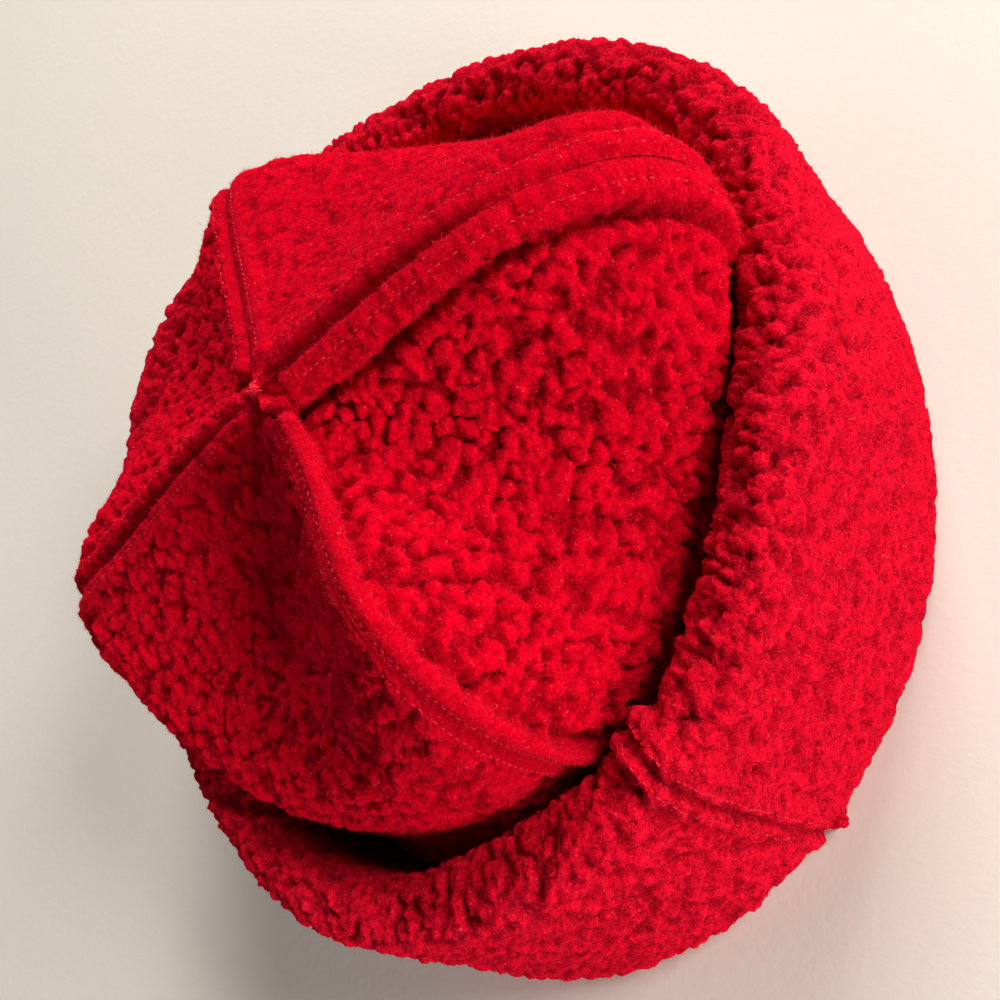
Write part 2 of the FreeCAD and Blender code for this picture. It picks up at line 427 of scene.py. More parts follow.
# The cuff's copy of the fleece: its brighter, pinker body and highlight are painted light on its lit
# face; its deeper pits are its coarser texture, darkened as painted shade.
CUFF_FLEECE = FleeceFinish("red_fleece_grained_lit", valley_shade=(0.27, 0.0004, 0.006),
                           body=(0.82, 0.002, 0.022), painted_highlight=(1.0, 0.020, 0.062),
                           painted_glint=(1.0, 0.14, 0.20), grain=0.85, sheen=0.26,
                           sheen_tint=(1.0, 0.04, 0.11))
FIBRE_SHADES = (
    FibreFinish("fibre_deep", (0.46, 0.0003, 0.007)),
    FibreFinish("fibre_mid", (0.74, 0.001, 0.018)),
    FibreFinish("fibre_light", (0.96, 0.03, 0.07)),
)


@dataclass(frozen=True)
class ThreadFinish:
    """Twisted polyester sewing thread."""

    name: str = "red_thread"
    shadow: tuple[float, float, float] = (0.50, 0.001, 0.012)
    light: tuple[float, float, float] = (0.86, 0.02, 0.05)

    def material(self) -> bpy.types.Material:
        """Make the material."""
        graph = Graph(self.name)
        twist = graph.add("ShaderNodeTexWave", wave_type="BANDS", bands_direction="DIAGONAL",
                          Scale=900.0, Distortion=2.5, Detail=2.0)
        graph.join(graph.coords(), twist.inputs["Vector"])
        colour = graph.mix(twist.outputs["Fac"], self.shadow, self.light)
        graph.join(colour, graph.shader.inputs["Base Color"])
        graph.join(graph.bump(twist.outputs["Fac"], 0.0001, 0.6), graph.shader.inputs["Normal"])
        graph.join(graph.ramp(graph.noise(2500.0, 2.0), 0.3, 0.7, 0.42, 0.62),
                   graph.shader.inputs["Roughness"])
        graph.shader.inputs["Sheen Weight"].default_value = 0.15
        graph.shader.inputs["Sheen Tint"].default_value = (1.0, 0.2, 0.25, 1.0)
        graph.shader.inputs["Specular IOR Level"].default_value = 0.05
        return graph.material


@dataclass(frozen=True)
class WallFinish:
    """Warm off-white paint under the hat."""

    name: str = "pale_floor"
    colour: tuple[float, float, float] = (0.76, 0.715, 0.655)

    def material(self) -> bpy.types.Material:
        """Make the material."""
        graph = Graph(self.name)
        tone = graph.ramp(graph.noise(4.0, 2.0), 0.3, 0.7)
        darker = tuple(0.95 * c for c in self.colour)
        graph.join(graph.mix(tone, darker, self.colour), graph.shader.inputs["Base Color"])
        graph.join(graph.bump(graph.noise(350.0, 4.0), 0.0004, 0.25),
                   graph.shader.inputs["Normal"])
        graph.shader.inputs["Roughness"].default_value = 0.8
        return graph.material


# ---------------------------------------------------------------- making meshes
@dataclass
class Relief:
    """How far cloth stands out, the height of its pile from 0 to 1, lowered in grooves and creases
    as painted shade, and how thick its fuzz is.
    """

    out: Array
    pile: Array
    nap: Array


@dataclass
class Patch:
    """A grid of surface points, its normals, the height of its pile with painted shade in its
    grooves, and how thick its fuzz is.
    """

    points: Array
    normals: Array
    pile: Array
    nap: Array


class MeshMaker:
    """Makes mesh objects from arrays, placed round the crown's axis."""

    def __init__(self) -> None:
        """Find the crown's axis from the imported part."""
        low, high = (Vector(corner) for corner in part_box("crown_tack"))
        middle = (low + high) / 2.0
        self.axis = np.array([middle.x, middle.y, 0.0])

    def make(self, name: str, points: Array, faces: list[Array], slots: Array | None = None,
             pile: Array | None = None) -> bpy.types.Object:
        """Make a smooth-shaded mesh object.

        Args:
            name: The piece's name.
            points: Vertices in millimetres round the crown's axis, shape (n, 3).
            faces: Arrays of vertex numbers, one for each number of corners.
            slots: The material slot of each face, if there is more than one.
            pile: The pile height at each vertex, lowered in seam grooves as painted shade, for the
                finish.

        Returns:
            The object.
        """
        mesh = bpy.data.meshes.new(name)
        mesh.vertices.add(len(points))
        placed = points * MM + self.axis
        mesh.vertices.foreach_set("co", placed.astype(np.float32).ravel())
        corners = np.concatenate([f.ravel() for f in faces]).astype(np.int32)
        counts = np.concatenate([np.full(len(f), f.shape[1]) for f in faces])
        mesh.loops.add(len(corners))
        mesh.loops.foreach_set("vertex_index", corners)
        mesh.polygons.add(len(counts))
        starts = np.concatenate([[0], np.cumsum(counts)[:-1]]).astype(np.int32)
        mesh.polygons.foreach_set("loop_start", starts)
        if slots is not None:
            mesh.polygons.foreach_set("material_index", slots.astype(np.int32))
        mesh.update(calc_edges=True)
        mesh.shade_smooth()
        if pile is not None:
            attribute = mesh.attributes.new("pile", "FLOAT", "POINT")
            attribute.data.foreach_set("value", pile.astype(np.float32).ravel())
        piece = bpy.data.objects.new(name, mesh)
        bpy.context.scene.collection.objects.link(piece)
        return piece

    @staticmethod
    def dress(piece: bpy.types.Object, finishes: list[bpy.types.Material], slot: str,
              nodes: tuple[str, ...] = ()) -> None:
        """Give a piece its finishes, attach it to the root body and hide the CAD nodes that it
        replaces.

        Args:
            piece: The piece.
            finishes: Its materials, in the order of their slots.
            slot: The record's material slot that it takes its finish from; not used.
            nodes: The CAD nodes that it replaces.
        """
        for finish in finishes:
            piece.data.materials.append(finish)
        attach(piece, "root")
        if nodes:
            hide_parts(*nodes)


def grid_faces(numbers: Array) -> Array:
    """Four-cornered faces over a grid of vertex numbers, outward for rows that run upwards."""
    return np.stack([numbers[:-1, :-1], numbers[:-1, 1:], numbers[1:, 1:], numbers[1:, :-1]],
                    axis=-1).reshape(-1, 4)


def zipper(first: Array, second: Array, turned: bool) -> Array:
    """Triangles that close the strip between two lines of vertices with the same ends.

    Args:
        first: Vertex numbers along one line.
        second: Vertex numbers along the other, in the same direction.
        turned: Whether the triangles face the other way.

    Returns:
        Array of shape (n, 3).
    """
    made = []
    i = j = 0
    last_i, last_j = len(first) - 1, len(second) - 1
    while i < last_i or j < last_j:
        if j == last_j or (i < last_i and (i + 1) * last_j <= (j + 1) * last_i):
            made.append((first[i], first[i + 1], second[j]))
            i += 1
        else:
            made.append((first[i], second[j + 1], second[j]))
            j += 1
    triangles = np.array(made)
    return triangles[:, ::-1] if turned else triangles


# ---------------------------------------------------------------- forms
@dataclass(frozen=True)
class Lobe:
    """A bulge of a plan outline."""

    added: float
    heading: float
    width: float

    def at(self, headings: Array) -> Array:
        """What the lobe adds at the headings."""
        return self.added * bell((headings - self.heading + 180.0) % 360.0 - 180.0, self.width)


@dataclass(frozen=True)
class CuffForm:
    """Plan and profile of the turned-up cuff."""

    thickness: float = 15.0
    lip_thickness: float = 16.0
    height: float = 72.0
    rim: float = 112.0
    lip: float = 101.0
    seam_heading: float = -47.0
    rim_lobes: tuple[Lobe, ...] = (Lobe(17, -84, 38), Lobe(3, 180, 60), Lobe(-4, 5, 32))
    lip_lobes: tuple[Lobe, ...] = (Lobe(11, -95, 31), Lobe(5, 44, 24), Lobe(-7, -10, 28),
                                   Lobe(-4, 112, 25), Lobe(5, 190, 38))
    lip_dip: tuple[Lobe, ...] = (Lobe(-12, 106, 36), Lobe(-13, 205, 45))

    def rim_radius(self, headings: Array) -> Array:
        """Outside of the cuff at the rim."""
        return self.rim + sum(lobe.at(headings) for lobe in self.rim_lobes)

    def lip_radius(self, headings: Array) -> Array:
        """Outside of the lip."""
        return self.lip + sum(lobe.at(headings) for lobe in self.lip_lobes)

    def lip_top(self, headings: Array) -> Array:
        """Height of the top of the lip."""
        return self.height + sum(lobe.at(headings) for lobe in self.lip_dip)

    def inside(self, headings: Array, heights: Array) -> Array:
        """Distance from the crown's axis to the inside of the cuff at the heights.

        Args:
            headings: Headings in degrees.
            heights: Heights, broadcast with the headings.

        Returns:
            Distances, for heights below the lip's top.
        """
        half = self.lip_thickness / 2.0
        roll = self.lip_top(headings) - half
        rim = self.rim_radius(headings) - self.thickness
        lip = self.lip_radius(headings) - self.lip_thickness
        wall = rim + (lip - rim) * heights / roll
        rise = np.clip(heights - roll, 0.0, half)
        return np.where(heights < roll, wall, lip + half - np.sqrt(half ** 2 - rise ** 2))

    def outline(self, headings: Array) -> Array:
        """The cuff's outline, from the outside of the rim over the lip to the inside.

        Args:
            headings: Headings in degrees, shape (columns,).

        Returns:
            Distances and heights, shape (11, columns, 2).
        """
        rim, lip, top = (f(headings) for f in (self.rim_radius, self.lip_radius, self.lip_top))
        half = self.lip_thickness / 2.0
        centre, roll = lip - half, top - half
        inner_rim, inner_lip = rim - self.thickness, lip - self.lip_thickness
        zero = np.zeros_like(rim)
        line = [
            (rim, zero),
            (rim + 0.35 * (lip - rim) + 1.5, 0.35 * roll),
            (rim + 0.75 * (lip - rim) + 1.0, 0.75 * roll),
            (lip, roll),
            (centre + 0.7 * half, roll + 0.72 * half),
            (centre, top),
            (centre - 0.7 * half, roll + 0.72 * half),
            (inner_lip, roll),
            (inner_rim + 0.70 * (inner_lip - inner_rim) + 0.5, 0.70 * roll),
            (inner_rim + 0.35 * (inner_lip - inner_rim) + 0.5, 0.35 * roll),
            (inner_rim, zero),
        ]
        return np.array([np.stack(pair, axis=-1) for pair in line])


@dataclass(frozen=True)
class Strip:
    """The raised strip of cloth beside a seam, over its allowance."""

    width: float
    rise: float
    soft: float
    row: float = 3.4
    scallop: float = 0.8
    nubby: float = 0.25
    taper: float = 0.0
    # crease deepens the fold at the strip's edge and paints shade along it.
    crease: float = 0.0

    def share(self, away: Array) -> Array:
        """How much of the strip is there, at distances from the seam."""
        return 1.0 - smoothstep(-self.soft, self.soft, away - self.width)

    def narrowing(self, from_axis: Array) -> Array:
        """How much narrower the strip is, at distances from the crown's axis."""
        return self.taper * smoothstep(20.0, 65.0, from_axis)


class SeamRank(Enum):
    """Whether a crown seam runs over the apex or ends under the one that does."""

    LONG = 1
    SHORT = 2


@dataclass(frozen=True)
class SeamLine:
    """A crown seam: its heading and its line as distances and heights."""

    name: str
    heading: float
    rank: SeamRank
    line: tuple[tuple[float, float], ...]
    groove: float = 1.7
    open_until: float = 200.0


SEAM_RIGHT = SeamLine("right", 24.0, SeamRank.LONG, (
    (86, 38), (81, 58), (87, 77), (88, 93), (79, 109), (56, 119), (28, 118), (3, 114)),
    groove=1.9, open_until=46.0)
SEAM_FRONT = SeamLine("front", 123.0, SeamRank.SHORT, (
    (87, 38), (81, 56), (83, 70), (81, 81), (73, 88.5), (52, 97), (27, 105), (3, 114)),
    groove=0.9)
SEAM_LEFT = SeamLine("left", 202.0, SeamRank.LONG, (
    (94, 38), (89, 57), (95, 74), (93, 82), (82, 87.5), (58, 96), (28, 107), (3, 114)),
    groove=1.4, open_until=68.0)
SEAM_BACK = SeamLine("back", 304.0, SeamRank.SHORT, (
    (91, 38), (84, 58), (83, 74), (78, 93), (68, 109), (50, 119), (25, 114.5), (3, 114)),
    groove=0.9)


@dataclass(frozen=True)
class Bulge:
    """A soft rounding of a panel, at a heading and a height."""

    added: float
    heading: float
    height: float
    width: float = 13.0
    tall: float = 16.0

    def at(self, points: Array) -> Array:
        """What the bulge adds at points round the crown's axis."""
        headings = np.degrees(np.arctan2(points[..., 1], points[..., 0]))
        turn = np.radians((headings - self.heading + 180.0) % 360.0 - 180.0)
        away = turn * np.hypot(points[..., 0], points[..., 1])
        return self.added * bell(away, self.width) * bell(points[..., 2] - self.height, self.tall)


@dataclass(frozen=True)
class GoreForm:
    """A crown panel between two seams, and its own middle line, which sags below them."""

    name: str
    first: SeamLine
    second: SeamLine
    middle: tuple[tuple[float, float], ...]
    flat: tuple[float, float]
    flat_area: float
    cell: float
    long_strip: Strip
    short_strip: Strip
    curl: float = 4.0
    curl_depth: float = 2.1
    bulges: tuple[Bulge, ...] = ()
    thickness: float = 5.0
    layer_gap: float = 2.2
    wall_heights: tuple[float, float] = (1.5, 20.0)
    sag_power: float = 1.1
    tip_radius: float = 0.7
    swell: float = 1.1

    @property
    def long_seam(self) -> SeamLine:
        """The seam of the two that runs over the apex."""
        return self.first if self.first.rank is SeamRank.LONG else self.second

    @property
    def short_seam(self) -> SeamLine:
        """The seam of the two that ends under the other."""
        return self.second if self.first.rank is SeamRank.LONG else self.first

    def outer_lines(self, shares: Array, cuff: CuffForm) -> tuple[Array, Array]:
        """The outer line at each share of the way from the first seam to the second.

        Args:
            shares: Shares from 0 to 1, shape (columns,).
            cuff: The cuff that the wall stands inside.

        Returns:
            The headings, and distances and heights of shape (knots, columns, 2).
        """
        span = (self.second.heading - self.first.heading) % 360.0
        headings = self.first.heading + shares * span
        one, two, mid = (np.array(line, float)[:, None, :] for line in
                         (self.first.line, self.second.line, self.middle))
        share = shares[None, :, None]
        sag = np.sin(np.pi * share) ** self.sag_power
        line = one + share * (two - one) + sag * (mid - 0.5 * (one + two))
        line[-1, :, 0] = self.tip_radius
        wall = [np.stack([cuff.inside(headings, np.full_like(headings, z)) - self.layer_gap,
                          np.full_like(headings, z)], axis=-1) for z in self.wall_heights]
        return headings, np.concatenate([np.array(wall), line])


# ---------------------------------------------------------------- fuzz
class Fuzz:
    """Short loose fibres that stand out of a fleece's pile."""

    LONG_SHARE = 0.02
    VALLEY_CHANCE = 0.12
    SUNK = 0.12
    LOWEST = 0.02
    SHADE_SHARES = (0.30, 0.50, 0.20)
    BENT_FACES = np.array([(2, 1, 0), (0, 1, 4), (0, 4, 3), (1, 2, 5), (1, 5, 4), (2, 0, 3),
                           (2, 3, 5), (3, 4, 6), (4, 5, 6), (5, 3, 6)])
    PLAIN_FACES = np.array([(2, 1, 0), (0, 1, 3), (1, 2, 3), (2, 0, 3)])

    def __init__(self, maker: MeshMaker, seed: int) -> None:
        """Start the draw of the fibres."""
        self.maker = maker
        self.random = np.random.default_rng(seed)

    def directions(self, normals: Array, upright: Array) -> Array:
        """Directions round the normals, from lying down at upright 0 to standing at 1."""
        sideways = self.random.normal(size=normals.shape)
        sideways -= np.sum(sideways * normals, axis=-1, keepdims=True) * normals
        return unit(upright[:, None] * normals + (1.0 - upright[:, None]) * unit(sideways))

    @staticmethod
    def ring(centres: Array, along: Array, radius: float) -> Array:
        """Three points round each centre, square to the way along."""
        helper = np.where(np.abs(along[:, 2:3]) < 0.8, np.array([[0.0, 0.0, 1.0]]),
                          np.array([[1.0, 0.0, 0.0]]))
        side = unit(np.cross(along, helper))
        other = np.cross(along, side)
        turns = np.radians([0.0, 120.0, 240.0])
        return np.stack([centres + radius * (math.cos(t) * side + math.sin(t) * other)
                         for t in turns], axis=1)

    def roots(self, patch: Patch, count: int) -> tuple[Array, Array]:
        """Draw where fibres grow: most on tall pile and where the nap is thick.

        Args:
            patch: The surface they grow from.
            count: How many fibres.

        Returns:
            The points of the roots and the normals there.
        """
        p = patch.points
        area = np.linalg.norm(np.cross(p[1:, :-1] - p[:-1, :-1], p[:-1, 1:] - p[:-1, :-1]), axis=-1)
        chance = area.ravel() * (self.VALLEY_CHANCE + patch.pile[:-1, :-1].ravel() ** 2)
        chance *= patch.nap[:-1, :-1].ravel()
        cell = self.random.choice(area.size, size=count, p=chance / chance.sum())
        row, column = np.unravel_index(cell, area.shape)
        s, t = self.random.random((2, count, 1))
        found = []
        for grid in (patch.points, patch.normals):
            low = grid[row, column] * (1 - t) + grid[row, column + 1] * t
            high = grid[row + 1, column] * (1 - t) + grid[row + 1, column + 1] * t
            found.append(low * (1 - s) + high * s)
        normals = unit(found[1])
        return found[0] - self.SUNK * normals, normals

    def fibres(self, roots: Array, normals: Array, bent: int, length: float,
               radius: float) -> tuple[Array, Array]:
        """Shape fibres as thin spikes, the first of them with a bend half way.

        Args:
            roots: Where they grow.
            normals: The cloth's normals there.
            bent: How many have a bend.
            length: Typical length of a fibre.
            radius: Radius of a fibre at its root.

        Returns:
            Vertices, and triangles that number them.
        """
        count = len(roots)
        size = length * np.exp(self.random.normal(0.0, 0.35, count))[:, None]
        size[self.random.random(count) < self.LONG_SHARE] *= 2.2
        along = self.directions(normals, self.random.uniform(0.15, 0.9, count))
        bends = roots[:bent] + along[:bent] * size[:bent] * 0.5
        onward = unit(along[:bent] + 0.9 * self.directions(normals[:bent], np.zeros(bent)))
        tips = roots + along * size * 0.8
        tips[:bent] = bends + onward * size[:bent] * 0.5
        bent_points = np.concatenate([
            self.ring(roots[:bent], along[:bent], radius),
            self.ring(bends, unit(along[:bent] + onward), radius * 0.8),
            tips[:bent, None]], axis=1)
        plain_points = np.concatenate([self.ring(roots[bent:], along[bent:], radius),
                                       tips[bent:, None]], axis=1)
        first = (np.arange(bent)[:, None, None] * 7 + self.BENT_FACES).reshape(-1, 3)
        second = (np.arange(count - bent)[:, None, None] * 4 + self.PLAIN_FACES).reshape(-1, 3)
        points = np.concatenate([bent_points.reshape(-1, 3), plain_points.reshape(-1, 3)])
        points[:, 2] = np.maximum(points[:, 2], self.LOWEST)
        return points, np.concatenate([first, second + bent * 7])

    def grow(self, name: str, patch: Patch, faces: int, length: float, radius: float = 0.036,
             bent_share: float = 0.25) -> bpy.types.Object:
        """Grow fibres all over a patch.

        Args:
            name: The piece's name.
            patch: The surface they grow from.
            faces: About how many faces to spend.
            length: Typical length of a fibre.
            radius: Radius of a fibre at its root.
            bent_share: Share of the fibres that have a bend.

        Returns:
            The piece, dressed in the fibre shades.
        """
        each = bent_share * len(self.BENT_FACES) + (1.0 - bent_share) * len(self.PLAIN_FACES)
        count = int(faces / each)
        bent = int(count * bent_share)
        roots, normals = self.roots(patch, count)
        points, triangles = self.fibres(roots, normals, bent, length, radius)
        shade = self.random.choice(3, size=count, p=self.SHADE_SHARES)
        slots = np.concatenate([np.repeat(shade[:bent], len(self.BENT_FACES)),
                                np.repeat(shade[bent:], len(self.PLAIN_FACES))])
        piece = self.maker.make(name, points, [triangles], slots=slots)
        self.maker.dress(piece, [bpy.data.materials.get(finish.name) or finish.material()
                                 for finish in FIBRE_SHADES], "fleece")
        LOG.info("%s: %d fibres, %d faces", name, count, len(triangles))
        return piece


# ---------------------------------------------------------------- crown
@dataclass
class Gore:
    """One crown panel of pile fleece."""

    form: GoreForm
    cuff: CuffForm
    maker: MeshMaker
    tip_clear: float = 11.5
    calm_radius: float = 10.0
    tuft_cell: float = 1.7
    seam_gap: float = 0.03
    inner_rows: int = 34
    wall_rows: int = 14
    wall_top: float = 44.0

    def base_grid(self) -> Array:
        """Points of the panel before its relief, shape (rows, columns, 3)."""
        coarse = np.linspace(0.0, 1.0, 41)
        _, knots = self.form.outer_lines(coarse, self.cuff)
        width = np.radians((self.form.second.heading - self.form.first.heading) % 360.0)
        columns = int(width * knots[2, :, 0].mean() / self.form.cell)
        shares = np.linspace(0.0, 1.0, columns)
        headings, knots = self.form.outer_lines(shares, self.cuff)
        dense = spline_through(knots, 300)
        below = dense[..., 1] < self.cuff.lip_top(headings)
        limit = self.cuff.inside(headings, dense[..., 1]) - 0.6 * self.form.layer_gap
        dense[..., 0] = np.where(below, np.minimum(dense[..., 0], limit), dense[..., 0])
        length = np.linalg.norm(np.diff(dense, axis=0), axis=-1).sum(axis=0).mean()
        foot = (self.wall_top - self.form.wall_heights[0]) / length
        fine = int(length * (1.0 - foot) / self.form.cell)
        rows = np.concatenate([np.linspace(0.0, foot, self.wall_rows, endpoint=False),
                               np.linspace(foot, 1.0, fine)])
        line = resampled(dense, rows)
        return around(headings, line[..., 0], line[..., 1])

    def seam_sides(self, base: Array) -> tuple[Array, Array]:
        """Distances on the cloth from the long seam and from the short one."""
        travelled = run_lengths(base, 1)
        remaining = travelled[:, -1:] - travelled
        if self.form.first.rank is SeamRank.LONG:
            return travelled, remaining
        return remaining, travelled

    def curls(self, base: Array, long_side: Array, short_side: Array) -> tuple[Array, Array]:
        """Heights from 0 to 1 of the pile's large curls and of the small tufts on them."""
        up_run = run_lengths(base, 0)
        plane = np.stack([(long_side - short_side) / 2.0, up_run[-1:] - up_run,
                          np.zeros_like(long_side)], axis=-1)
        return (PILE.nubs(base, self.form.curl, 20, normals=grid_normals(base)),
                PILE.nubs(plane, self.tuft_cell, 30, 0.3))

    def relief(self, base: Array) -> Relief:
        """Shape the cloth: its soft form, the strips and grooves at its seams, and its curls, and
        paint shade into its grooves and creases.

        Args:
            base: Points of the panel before its relief.

        Returns:
            The relief at the points.
        """
        form = self.form
        long_side, short_side = self.seam_sides(base)
        nearer = np.minimum(long_side, short_side)
        nub, tuft = self.curls(base, long_side, short_side)
        shown = smoothstep(34.0, 52.0, base[..., 2])
        from_axis = np.hypot(base[..., 0], base[..., 1])
        out = form.swell * PILE.smooth(base, 22.0, 40)[..., 0] * smoothstep(0.0, 9.0, nearer) * shown
        for bulge in form.bulges:
            out += bulge.at(base) * (0.5 + 0.5 * smoothstep(0.0, 7.0, nearer))
        kept = np.ones_like(out)
        # Painted shade for the seam grooves and for the creases at the strips' edges.
        groove_shade = np.zeros_like(out)
        ragged = 0.65 * PILE.smooth(base, 6.0, 11)[..., 0] + 0.7 * (tuft - 0.5) + 0.6 * (nub - 0.5)
        for away, strip, seam, there in (
                (long_side, form.long_strip, form.long_seam, 1.0),
                (short_side, form.short_strip, form.short_seam, smoothstep(7.0, 9.5, long_side))):
            edge_away = away + strip.narrowing(from_axis)
            share = strip.share(edge_away - strip.scallop * ragged) * there
            opened = 1.0 - 0.6 * smoothstep(0.0, 18.0, from_axis - seam.open_until)
            groove = bell(away, 1.7) * there
            fold = bell(edge_away - strip.width - 1.5, 1.4)
            out += strip.rise * share * (1.0 - 0.75 * groove)
            out -= seam.groove * groove * opened + 0.25 * bell(away - strip.row, 0.6) * share
            out -= (0.9 * strip.rise / (1.0 + strip.soft) + 0.8 * strip.crease) * fold
            kept *= 1.0 - (1.0 - strip.nubby) * share
            groove_shade = np.maximum(groove_shade, groove * opened * min(seam.groove / 1.7, 1.0))
            groove_shade = np.maximum(groove_shade, strip.crease * fold * there)
        out += 1.3 * bell(long_side - 11.5, 2.6) * bell(short_side - 3.0, 3.2)
        edge = smoothstep(0.0, 1.4, nearer)
        out += form.curl_depth * (nub - 0.5) * kept * (0.25 + 0.75 * shown) * edge
        out += 0.5 * (tuft - 0.5) * (0.55 + 0.45 * kept) * edge
        out *= smoothstep(0.0, self.calm_radius, from_axis)
        height = np.clip(0.74 * nub + 0.30 * tuft, 0.0, 1.0)
        height = height * kept + (1.0 - kept) * (0.45 + 0.35 * tuft)
        # The pile is lowered by the painted shade, so the grooves and creases take the shade colour.
        return Relief(out, height * (1.0 - 0.75 * groove_shade), 1.0 + 1.6 * (1.0 - kept))

    def outward(self, base: Array) -> Array:
        """The way each point is moved by the relief; along a seam it stays in the seam's plane."""
        normals = grid_normals(base)
        travelled = run_lengths(base, 1)
        for away, seam in ((travelled, self.form.first),
                           (travelled[:, -1:] - travelled, self.form.second)):
            turn = np.radians(seam.heading + 90.0)
            across = np.array([math.cos(turn), math.sin(turn), 0.0])
            share = (1.0 - smoothstep(0.0, 4.0, away))[..., None]
            normals = normals - share * np.sum(normals * across, axis=-1, keepdims=True) * across
        return unit(normals)

    def stitch_path(self, base: Array, patch: Patch, rank: SeamRank) -> tuple[Array, Array]:
        """Where a topstitch row runs beside one of the panel's seams.

        Args:
            base: The shown rows of the panel's points before their relief.
            patch: The same rows of the finished surface.
            rank: Which seam.

        Returns:
            Points and normals along the row.
        """
        long_side, short_side = self.seam_sides(base)
        is_long = rank is SeamRank.LONG
        side = long_side if is_long else short_side
        strip = self.form.long_strip if is_long else self.form.short_strip
        clear = np.hypot(base[:, 0, 0], base[:, 0, 1]) > self.tip_clear
        column = np.argmin(np.abs(side - strip.row), axis=1)
        if rank is SeamRank.SHORT:
            clear &= long_side[np.arange(len(base)), column] > 9.0
        rows = np.flatnonzero(clear)
        picked = rows, column[rows]
        kernel = np.ones(9) / 9.0
        lines = []
        for grid in (patch.points, patch.normals):
            line = np.pad(grid[picked], ((4, 4), (0, 0)), mode="edge")
            lines.append(np.stack([np.convolve(line[:, k], kernel, "valid") for k in range(3)],
                                  axis=-1))
        return lines[0], unit(lines[1])

    def build(self, finish: bpy.types.Material) -> tuple[bpy.types.Object, Patch, Array]:
        """Make the panel as one closed shell of fleece.

        Args:
            finish: The fleece's material.

        Returns:
            The piece, the patch of it that shows, and that patch's points before their relief.
        """
        base = self.base_grid()
        normals = self.outward(base)
        relief = self.relief(base)
        outer = self.cuff_limit(base + normals * relief.out[..., None])
        inner = self.inside(base, normals)
        for grid in (outer, inner):
            self.open_seam(grid)
        points = np.concatenate([outer.reshape(-1, 3), inner.reshape(-1, 3)])
        heights = np.concatenate([relief.pile.ravel(), np.full(inner[..., 0].size, 0.5)])
        faces = self.shell_faces(outer, inner)
        piece = self.maker.make("gore_" + self.form.name + "_fleece", points, faces, pile=heights)
        self.maker.dress(piece, [finish], "fleece", ("gore_" + self.form.name,))
        LOG.info("%s: %d triangles, cloth %.1f cm2", piece.name,
                 2 * len(faces[0]) + len(faces[1]), self.cloth_area(base) / 100.0)
        shown = slice(self.wall_rows, None)
        patch = Patch(outer[shown], grid_normals(outer)[shown], relief.pile[shown],
                      relief.nap[shown])
        return piece, patch, base[shown]

    def inside(self, base: Array, normals: Array) -> Array:
        """The panel's hidden side, one fleece and its allowances under some of its rows.

        Args:
            base: Points of the panel before its relief.
            normals: The way each point moves outwards.

        Returns:
            Array of shape (picked rows, columns, 3).
        """
        rows = len(base)
        picks = np.unique(np.linspace(0, rows - 1, self.inner_rows).astype(int))
        sides = np.minimum(*self.seam_sides(base))[picks]
        allowance = 1.2 * (1.0 - smoothstep(8.0, 10.0, sides)) * smoothstep(0.0, 1.5, sides)
        ripple = 0.35 * PILE.smooth(base[picks], 3.0, 50)[..., 0]
        depth = self.form.thickness + allowance + ripple
        inner = base[picks] - normals[picks] * depth[..., None]
        inner[..., 2] = np.maximum(inner[..., 2], base[0, 0, 2])
        return inner

    @staticmethod
    def shell_faces(outer: Array, inner: Array) -> list[Array]:
        """Faces that close the two sides of a panel to one shell.

        Args:
            outer: The outer side's points, numbered first.
            inner: The inner side's points, on fewer rows.

        Returns:
            The four-cornered faces and the triangles.
        """
        outer_numbers = np.arange(outer[..., 0].size).reshape(outer.shape[:2])
        inner_numbers = outer_numbers.size + np.arange(inner[..., 0].size).reshape(inner.shape[:2])
        quads = np.concatenate([
            grid_faces(outer_numbers),
            grid_faces(inner_numbers)[:, ::-1],
            grid_faces(np.stack([outer_numbers[-1], inner_numbers[-1]])),
            grid_faces(np.stack([inner_numbers[0], outer_numbers[0]]))])
        triangles = np.concatenate([
            zipper(outer_numbers[:, 0], inner_numbers[:, 0], True),
            zipper(outer_numbers[:, -1], inner_numbers[:, -1], False)])
        return [quads, triangles]

    def cuff_limit(self, outer: Array) -> Array:
        """The outer surface kept clear of the inside of the cuff."""
        distance = np.hypot(outer[..., 0], outer[..., 1])
        headings = np.degrees(np.arctan2(outer[..., 1], outer[..., 0]))
        limit = self.cuff.inside(headings, outer[..., 2]) - 0.5
        below = outer[..., 2] < self.cuff.lip_top(headings)
        kept = np.where(below, np.minimum(distance, limit), distance)
        return around(headings, kept, outer[..., 2])

    def open_seam(self, grid: Array) -> None:
        """Keep the panel on its own side of both seams, and its edges beside them."""
        for column, heading, side in ((0, self.form.first.heading, 1.0),
                                      (-1, self.form.second.heading, -1.0)):
            turn = np.radians(heading + 90.0)
            across = side * np.array([math.cos(turn), math.sin(turn), 0.0])
            depth = grid @ across
            near = slice(0, 12) if column == 0 else slice(-12, None)
            short = np.maximum(self.seam_gap - depth[:, near], 0.0)
            grid[:, near] += short[..., None] * across
            grid[:, column] += (self.seam_gap - grid[:, column] @ across)[:, None] * across

    @staticmethod
    def cloth_area(base: Array) -> float:
        """Area of the panel's cloth before its relief."""
        return float(np.linalg.norm(np.cross(base[1:, :-1] - base[:-1, :-1],
                                             base[:-1, 1:] - base[:-1, :-1]), axis=-1).sum())


